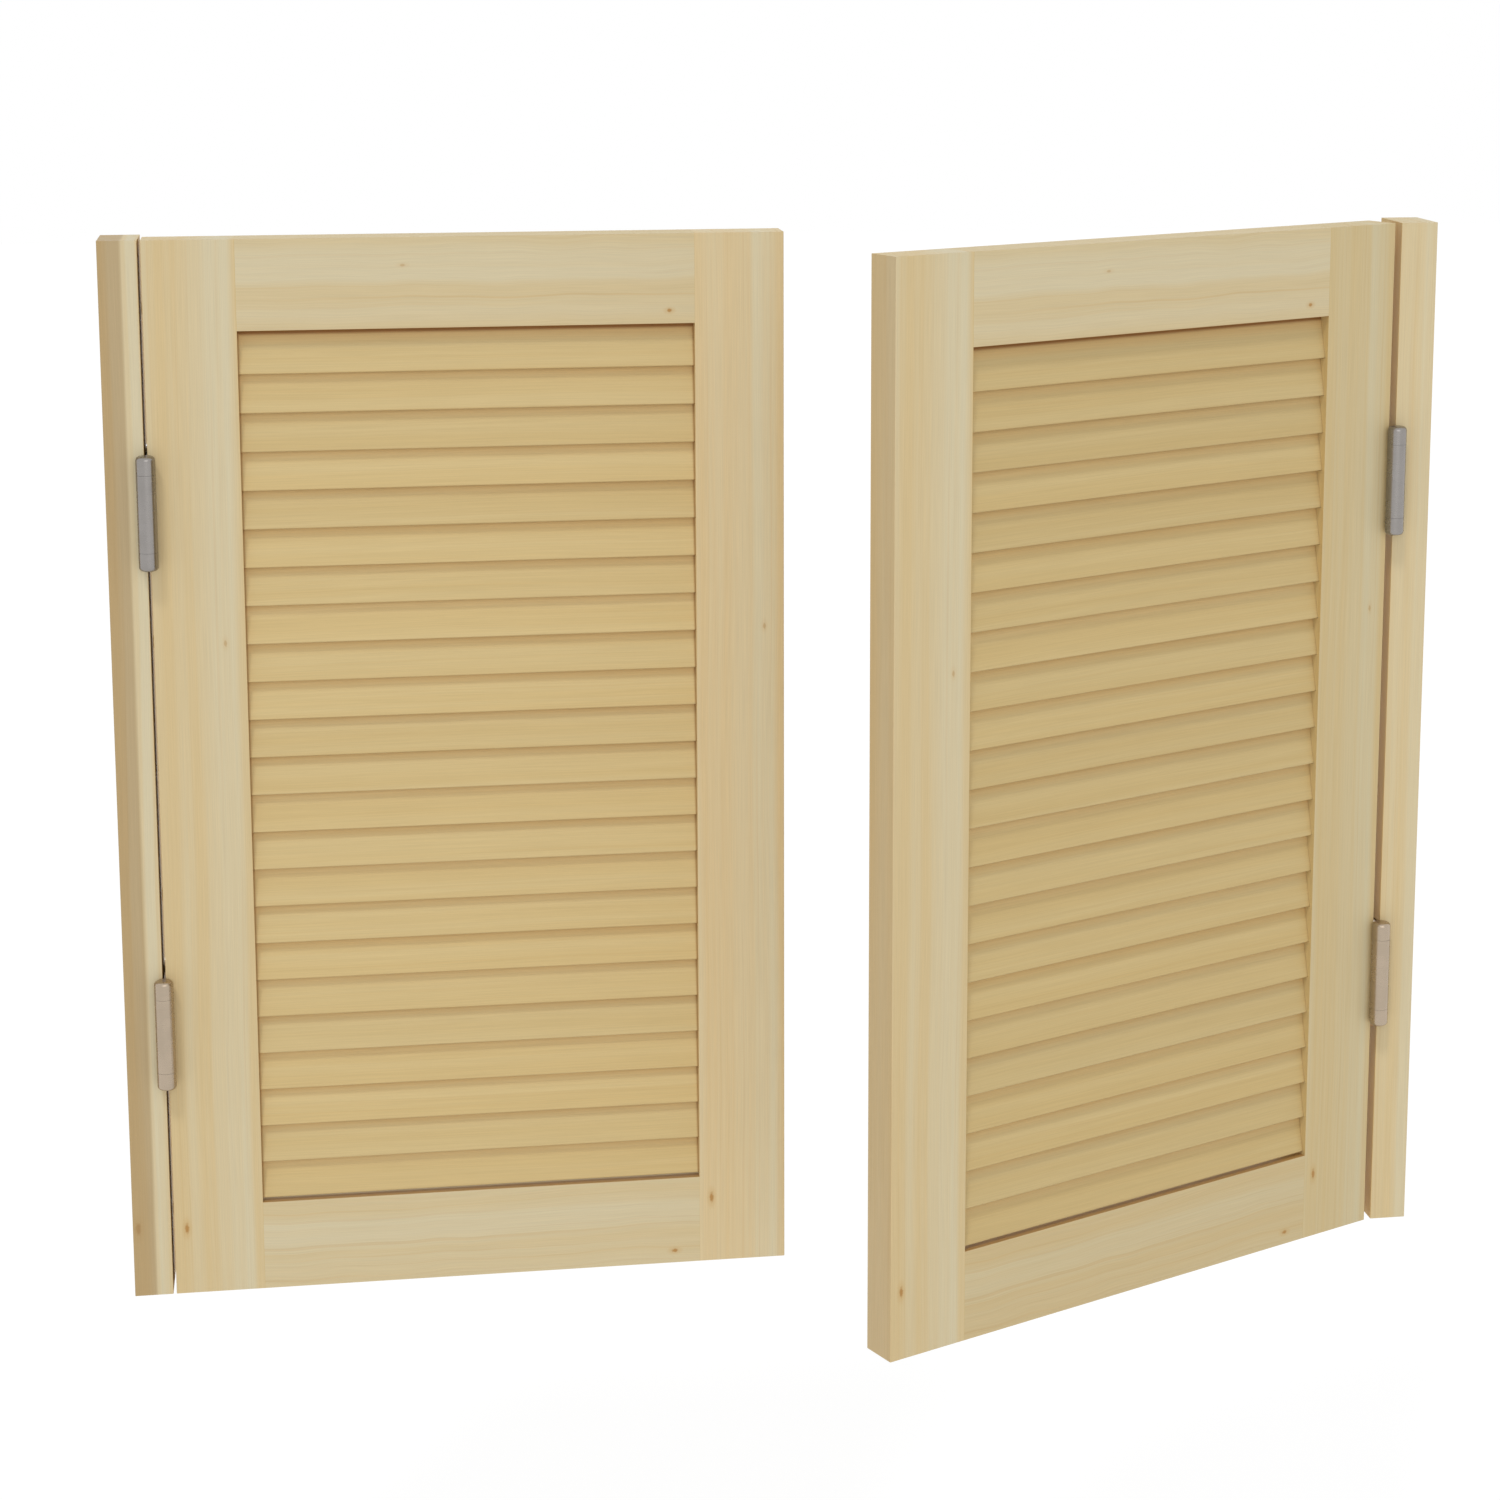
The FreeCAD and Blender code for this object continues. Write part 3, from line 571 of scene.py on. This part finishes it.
@dataclass
class SlatStack(Board):
    """The slats of a louvre, each in a slightly different tone.

    Painted shade darkens a slat at its ends by the stiles and under the top rail, and a painted warm shadow tints
    its upper front, where the slat above it keeps the light off.
    """

    thickness: float = 0.005
    step: float = 0.0062
    recess: float = 0.003
    lean: float = 0.1936
    length: float = 0.3749
    top: float = 0.7448
    # Strengths and reaches of the painted shade at the slats' ends and under the top rail.
    end_shades: tuple[float, float] = (0.65, 0.65)
    end_fade: tuple[float, float] = (0.0002, 0.0022)
    head_fade: tuple[float, float] = (0.0018, 0.0048)
    head_shade: float = 0.9

    def tone_nodes(self, tree: bpy.types.NodeTree, place: bpy.types.NodeSocket,
                   colour: bpy.types.NodeSocket) -> bpy.types.NodeSocket:
        """Vary the tone from slat to slat, following each slanted slat, and paint shade onto the slats.

        Args:
            tree: the material's node tree.
            place: the board's coordinates.
            colour: the pine's colour.

        Returns:
            The toned colour.
        """
        axes = node(tree, "ShaderNodeSeparateXYZ", None, i0=place).outputs
        nose = self.thickness * math.sin(self.lean)
        above_nose = maths(tree, "SUBTRACT", axes[1], nose)
        back = maths(tree, "MULTIPLY", maths(tree, "SUBTRACT", axes[2], self.recess), math.cos(self.lean))
        rise = maths(tree, "MULTIPLY", above_nose, math.sin(self.lean))
        margin = self.thickness + (self.step - self.thickness) / 2
        through = maths(tree, "ADD", maths(tree, "SUBTRACT", rise, back), margin)
        layers = maths(tree, "DIVIDE", through, self.step)
        count = maths(tree, "FLOOR", layers)
        chance = node(tree, "ShaderNodeTexWhiteNoise", {"noise_dimensions": "1D"}, W=count).outputs[0]
        shade = maths(tree, "MULTIPLY_ADD", chance, 0.05, 0.965)
        toned = node(tree, "ShaderNodeVectorMath", {"operation": "SCALE"}, i0=colour, Scale=shade).outputs[0]
        # Painted warm shadow on the upper front of each slat, under the slat above.
        front = smooth(tree, maths(tree, "FRACT", layers), 0.80, 0.87)
        pitch = self.step / math.sin(self.lean)
        height = maths(tree, "FRACT", maths(tree, "DIVIDE", above_nose, pitch))
        painted_shadow_mask = maths(tree, "MULTIPLY", front, smooth(tree, height, 0.62, 0.93))
        toned = blend(tree, painted_shadow_mask, toned, PAINTED_SHADOW_WARMTH, "MULTIPLY")
        # Painted shade at the slats' ends by the stiles and under the top rail.
        full, clear = self.end_fade
        left_end = smooth(tree, axes[0], full, clear, self.end_shades[0], 0.0)
        right_end = smooth(tree, axes[0], self.length - clear, self.length - full, 0.0, self.end_shades[1])
        end_shade_mask = maths(tree, "MAXIMUM", left_end, right_end)
        full, clear = self.head_fade
        head_shade_mask = smooth(tree, axes[1], self.top - clear, self.top - full, 0.0, self.head_shade)
        return blend(tree, maths(tree, "MAXIMUM", end_shade_mask, head_shade_mask), toned, SLAT_CORNER_SHADE, "MULTIPLY")


@dataclass(frozen=True)
class DoorSizes:
    """Sizes and heights of one closed door, in metres."""

    leaf_width: float = 0.5243
    stile_width: float = 0.0747
    top_rail_low: float = 0.825
    bottom_rail_high: float = 0.0775
    slats_low: float = 0.0795
    meeting_gap: float = 0.008
    # corner_reach: how deep the painted shade reaches into a rail's edge by the louvre.
    corner_reach: float = 0.007


class Door:
    """One door of the pair: a post, a leaf and two spring hinges."""

    def __init__(self, hand: Hand, workshop: Workshop, sizes: DoorSizes) -> None:
        """Find the door's pose.

        Args:
            hand: left or right.
            workshop: where its materials come from.
            sizes: its sizes.
        """
        self.name = hand.value
        self.hand = hand
        self.workshop = workshop
        self.sizes = sizes
        self.turned: dict[str, Any] = {}
        half = sizes.meeting_gap / 2
        self.left = -half - sizes.leaf_width
        if hand is Hand.RIGHT:
            joint = next(item for item in frame["joints"] if item["name"] == "right_front_swing")
            opened = math.radians(-joint["range_deg"][0])
            self.turned = {"opened": opened, "pivot": Vector(joint["pos_m"])}
            self.left = half
        self.inner = self.left + sizes.stile_width
        self.far = self.left + sizes.leaf_width - sizes.stile_width

    def boards(self) -> list[Board]:
        """Every wooden piece of the door.

        Returns:
            The boards with their figure and knots.
        """
        return [*self.stiles(), *self.rails(), *self.filling(), self.post()]

    def stiles(self) -> list[Board]:
        """The two stiles of the leaf.

        Returns:
            The boards, left one first.
        """
        knots = (Knot(0.058, 0.0105, 0.0021, 0.8, 0.40), Knot(0.566, 0.058, 0.0014, 0.4))
        # Painted shade on each stile's narrow faces: in the hinge gap, on the free edge and on the inner edge by
        # the slats.
        outer_shades = {"hinge": GAP_SHADE, "free": OUTER_EDGE_SHADE}
        roles = ("hinge", "free") if self.hand is Hand.LEFT else ("free", "hinge")
        width = self.sizes.stile_width
        places = ((roles[0], self.left, 1.0, 0.0, width), (roles[1], self.far, 2.0, width, 0.0))
        made: list[Board] = []
        for role, edge, seed, outside, inside in places:
            name = "%s_%s_stile" % (self.name, role)
            edge_shades = (EdgeShade(outside, outer_shades[role]), EdgeShade(inside, INNER_EDGE_SHADE))
            made.append(Board(name, Grain.UPRIGHT, Vector((edge, 0.0, 0.0)), PAINTED_LIGHT_AND_SHADE_PINES.get(name, FRAME_PINE),
                              seed, band_centre=0.058, band_width=0.011, knots=knots, shaded_edges=edge_shades,
                              **self.turned))
        return made

    def rails(self) -> list[Board]:
        """The two rails of the leaf.

        Returns:
            The boards, top one first.
        """
        length = self.far - self.inner
        reach = self.sizes.corner_reach
        corner = Vector((self.inner, 0.0, self.sizes.top_rail_low))
        # Each rail has painted shade along its edge by the louvre.
        top = Board(self.name + "_top_rail", Grain.ACROSS, corner, RAIL_PINE, 3.0,
                    band_centre=0.050, band_width=0.014,
                    knots=(Knot(length - 0.021, 0.011, 0.0016, 0.8, 0.6), Knot(0.135, 0.052, 0.0012, 0.35)),
                    shaded_edges=(EdgeShade(0.0, CORNER_SHADE_TONE, reach),), **self.turned)
        name = self.name + "_bottom_rail"
        corner = Vector((self.inner, 0.0, 0.0))
        bottom = Board(name, Grain.ACROSS, corner, PAINTED_LIGHT_AND_SHADE_PINES.get(name, RAIL_PINE), 4.0,
                       band_centre=0.047, band_width=0.014,
                       knots=(Knot(length - 0.022, 0.011, 0.0018, 0.8, 0.55),),
                       shaded_edges=(EdgeShade(self.sizes.bottom_rail_high, CORNER_SHADE_TONE, reach),), **self.turned)
        return [top, bottom]

    def filling(self) -> list[Board]:
        """The louvre's slats and the dowels of the frame.

        Returns:
            The boards.
        """
        pine, end_shades = SLAT_PINE, (0.65, 0.65)
        # The right door's slats take the copy with painted shade, and weaker painted shade at their right ends.
        if self.hand is Hand.RIGHT:
            pine, end_shades = PAINTED_SHADE_SLAT_PINE, (0.65, 0.1)
        corner = Vector((self.inner, 0.0, self.sizes.slats_low))
        slats = SlatStack(self.name + "_slats", Grain.ACROSS, corner, pine, 5.0,
                          band_centre=NO_BAND, end_shades=end_shades, **self.turned)
        dowels = Board(self.name + "_dowels", Grain.ACROSS, Vector((self.inner, 0.0, 0.0)), DOWEL_PINE, 6.0,
                       band_centre=NO_BAND, **self.turned)
        return [slats, dowels]

    def post(self) -> Board:
        """The fixed post.

        Returns:
            The board.
        """
        low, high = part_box(self.name + "_post")
        corner = Vector((low[0], 0.0, 0.0))
        # The post's face by the hinge gap carries painted shade.
        if self.hand is Hand.LEFT:
            return DarkStripPost("left_post", Grain.UPRIGHT, corner, FRAME_PINE, 7.0, band_centre=0.026,
                               band_width=0.004, knots=(Knot(0.060, 0.0045, 0.0026, 0.4),),
                               shaded_edges=(EdgeShade(high[0] - low[0], GAP_SHADE),))
        return Board("right_post", Grain.UPRIGHT, corner, FRAME_PINE, 8.0, band_centre=0.027,
                     band_width=0.005, shaded_edges=(EdgeShade(0.0, GAP_SHADE),))

    def dress(self, metals: dict[str, bpy.types.Material]) -> None:
        """Give every piece of the door its finish.

        Args:
            metals: the steels by the record's slot.
        """
        for board in self.boards():
            wear(board.node, self.workshop.pine(board))
        slots = {entry["node"]: entry["material_slot"] for entry in frame["record"]["subparts"]}
        for name, slot in slots.items():
            if name.startswith(self.name) and slot in metals:
                # Lower hinge barrels take the warmer steel copy, a painted reflection of the wood beside them.
                warm = slot == "hinge_steel" and "_lower_" in name
                wear(name, metals["lower_hinge_steel" if warm else slot])
        LOG.info("dressed the %s door", self.name)


def wear(name: str, material: bpy.types.Material) -> None:
    """Put one material on a CAD piece.

    Args:
        name: the piece.
        material: its finish.
    """
    piece = frame["nodes"][name]
    piece.data.materials.clear()
    piece.data.materials.append(material)


@dataclass
class Studio:
    """White studio: floor, light and the camera of the picture, in metres and degrees."""

    floor_level: float = -0.40
    floor_reach: float = 14.0
    floor_glow: float = 1.08
    floor_glow_share: float = 0.85
    sky_strength: float = 0.555
    key_place: Point = (0.2, -3.2, 1.7)
    key_target: Point = (0.0, 0.0, 0.45)
    key_size: float = 2.4
    key_watts: float = 17.0
    sun_direction: Point = (0.224, 0.421, -0.879)
    sun_strength: float = 0.87
    sun_spread: float = 9.0
    camera_place: Point = (-0.3888, -2.5909, 1.1381)
    heading: float = 8.72
    pitch: float = 9.70
    focal_pixels: float = 3158.2
    centre_pixels: tuple[float, float] = (798.66, 480.5)
    image_pixels: float = 1500.0
    sensor_millimetres: float = 36.0
    far_clip: float = 60.0

    def build(self) -> None:
        """Set up everything that is not part of the doors."""
        self.build_floor()
        self.build_world()
        self.build_lamps()
        self.build_camera()
        bpy.context.scene.view_settings.view_transform = "Standard"
        LOG.info("studio ready")

    def build_floor(self) -> None:
        """A wide pale floor well below the hanging doors."""
        mesh = bpy.data.meshes.new("floor")
        shape = bmesh.new()
        bmesh.ops.create_grid(shape, x_segments=1, y_segments=1, size=self.floor_reach)
        bmesh.ops.translate(shape, vec=(0.0, 0.0, self.floor_level), verts=shape.verts)
        shape.to_mesh(mesh)
        shape.free()
        floor = bpy.data.objects.new("floor", mesh)
        bpy.context.scene.collection.objects.link(floor)
        material = bpy.data.materials.new("floor_white")
        material.use_nodes = True
        tree = material.node_tree
        shader = tree.nodes["Principled BSDF"]
        shader.inputs["Base Color"].default_value = (0.86, 0.86, 0.86, 1.0)
        shader.inputs["Roughness"].default_value = 0.9
        white = node(tree, "ShaderNodeEmission", None, Color=WHITE, Strength=self.floor_glow)
        share = maths(tree, "MULTIPLY", self.seen_rays(tree), self.floor_glow_share)
        mixed = node(tree, "ShaderNodeMixShader", None, i0=share, i1=shader.outputs[0], i2=white.outputs[0])
        tree.links.new(mixed.outputs[0], tree.nodes["Material Output"].inputs["Surface"])
        mesh.materials.append(material)

    @staticmethod
    def seen_rays(tree: bpy.types.NodeTree) -> bpy.types.NodeSocket:
        """1 for rays that the camera sees directly, in metal or through glass.

        Args:
            tree: the node tree.

        Returns:
            The value socket.
        """
        path = tree.nodes.new("ShaderNodeLightPath").outputs
        mirrored = maths(tree, "MAXIMUM", path["Is Glossy Ray"], path["Is Transmission Ray"])
        return maths(tree, "MAXIMUM", path["Is Camera Ray"], mirrored)

    def build_world(self) -> None:
        """Even soft light, with a white background behind the doors."""
        world = bpy.data.worlds.new("white_studio")
        bpy.context.scene.world = world
        world.use_nodes = True
        tree = world.node_tree
        soft = tree.nodes["Background"]
        soft.inputs["Color"].default_value = (*WHITE, 1.0)
        soft.inputs["Strength"].default_value = self.sky_strength
        white = node(tree, "ShaderNodeBackground", None, Color=WHITE, Strength=1.0)
        mixed = node(tree, "ShaderNodeMixShader", None, i0=self.seen_rays(tree), i1=soft.outputs[0],
                     i2=white.outputs[0])
        tree.links.new(mixed.outputs[0], tree.nodes["World Output"].inputs["Surface"])

    def build_lamps(self) -> None:
        """A large soft lamp above the viewer, and a weak high sun from the left that shades the slats."""
        key = bpy.data.lights.new("key_light", "AREA")
        key.size = self.key_size
        key.energy = self.key_watts
        place = Vector(self.key_place)
        self.hang(key, Vector(self.key_target) - place).location = place
        sun = bpy.data.lights.new("high_light", "SUN")
        sun.energy = self.sun_strength
        sun.angle = math.radians(self.sun_spread)
        self.hang(sun, Vector(self.sun_direction)).visible_glossy = False

    @staticmethod
    def hang(light: bpy.types.Light, direction: Vector) -> bpy.types.Object:
        """Put a light into the scene.

        Args:
            light: the light.
            direction: where it shines.

        Returns:
            The object that holds it.
        """
        holder = bpy.data.objects.new(light.name, light)
        holder.rotation_euler = direction.to_track_quat("-Z", "Y").to_euler()
        bpy.context.scene.collection.objects.link(holder)
        return holder

    def build_camera(self) -> None:
        """The camera of the picture."""
        data = bpy.data.cameras.new("picture_camera")
        data.sensor_width = self.sensor_millimetres
        data.lens = self.focal_pixels / self.image_pixels * data.sensor_width
        half = self.image_pixels / 2
        data.shift_x = (half - self.centre_pixels[0]) / self.image_pixels
        data.shift_y = (self.centre_pixels[1] - half) / self.image_pixels
        data.clip_end = self.far_clip
        camera = bpy.data.objects.new("picture_camera", data)
        camera.location = self.camera_place
        camera.rotation_euler = (math.radians(90.0 - self.pitch), 0.0, math.radians(-self.heading))
        bpy.context.scene.collection.objects.link(camera)
        bpy.context.scene.camera = camera


def main() -> None:
    """Dress both doors and set up the studio."""
    logging.basicConfig(level=logging.INFO, format="%(name)s: %(message)s")
    workshop = Workshop()
    metals = {
        "hinge_steel": workshop.steel(HINGE_STEEL),
        "lower_hinge_steel": workshop.steel(LOWER_HINGE_PAINTED_REFLECTION),
        "spring_steel": workshop.steel(SPRING_STEEL),
        "screw_steel": workshop.steel(SCREW_STEEL),
    }
    for hand in Hand:
        Door(hand, workshop, DoorSizes()).dress(metals)
    Studio().build()


if __name__ == "__main__":
    main()
